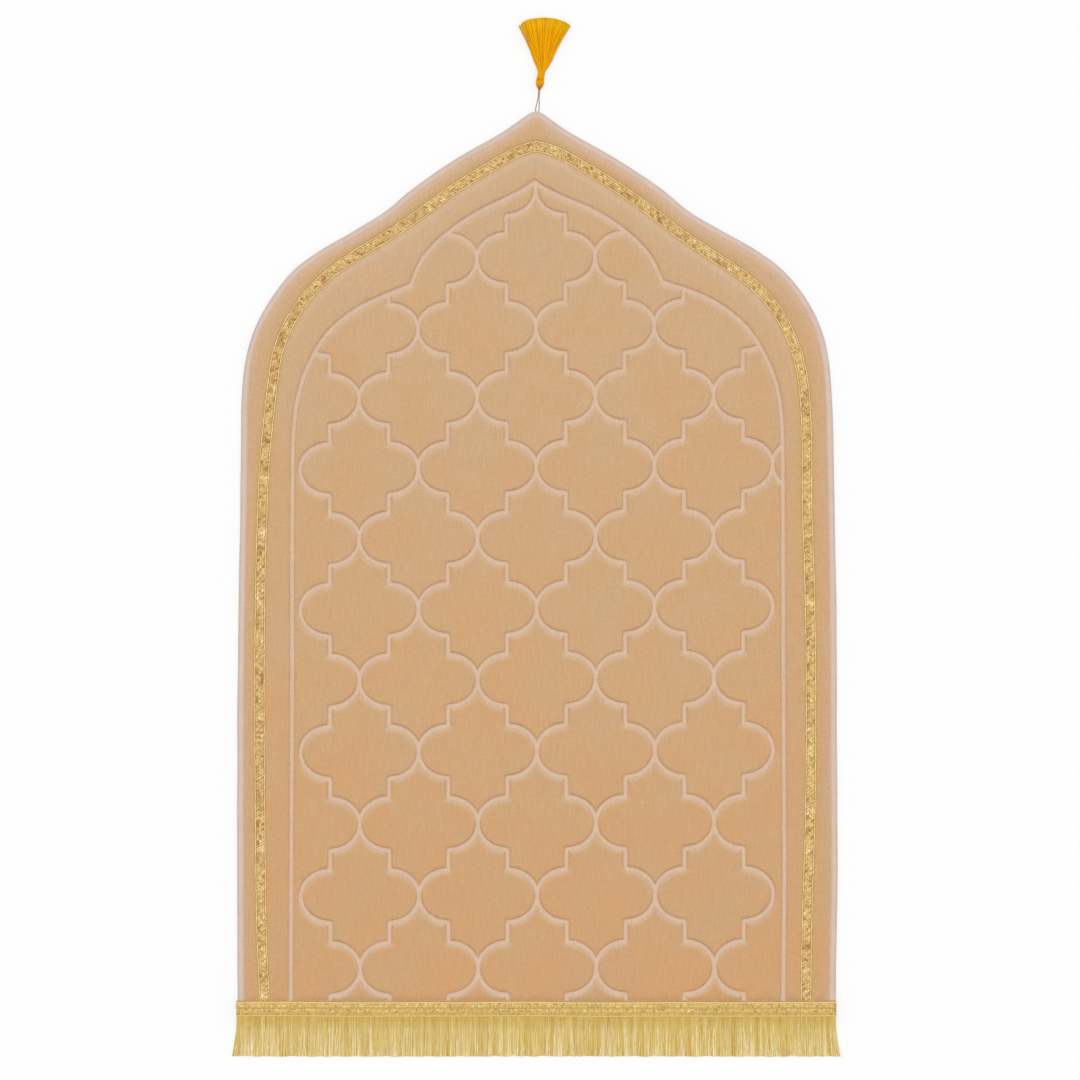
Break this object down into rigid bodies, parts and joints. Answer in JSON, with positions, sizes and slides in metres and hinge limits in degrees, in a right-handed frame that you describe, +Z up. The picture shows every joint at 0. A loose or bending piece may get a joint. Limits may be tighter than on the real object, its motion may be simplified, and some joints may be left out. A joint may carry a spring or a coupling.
{
  "type": "prayer rug",
  "caption": "Padded velvet prayer rug with an arched top, a pressed quatrefoil trellis, gold braid, a metallic fringe and a silky tassel on a thread at the point.",
  "frame": {"origin": "on the floor, at the centre of the rug's outline without its tassel and thread", "axes": "+X across the rug, +Y along it towards the point of the arch, +Z up off the floor"},
  "size_m": [0.7062, 1.21, 0.012],
  "materials": {
    "velvet": "tan velvet pile, paler and rosier where it is pressed",
    "binding": "pale rosy velvet strip, folded and stitched",
    "braid": "glittering gold lurex braid",
    "fringe": "pale gold lurex yarn, ribbed heading",
    "tassel": "silky yellow-orange viscose yarn",
    "thread": "fine twisted brown-gold thread"
  },
  "bodies": {
    "root": {"mat": "velvet", "edge_binding": "binding", "gold_braid": "braid", "fringe": "fringe", "tassel": "tassel", "tassel_loop": "thread"}
  },
  "joints": []
}
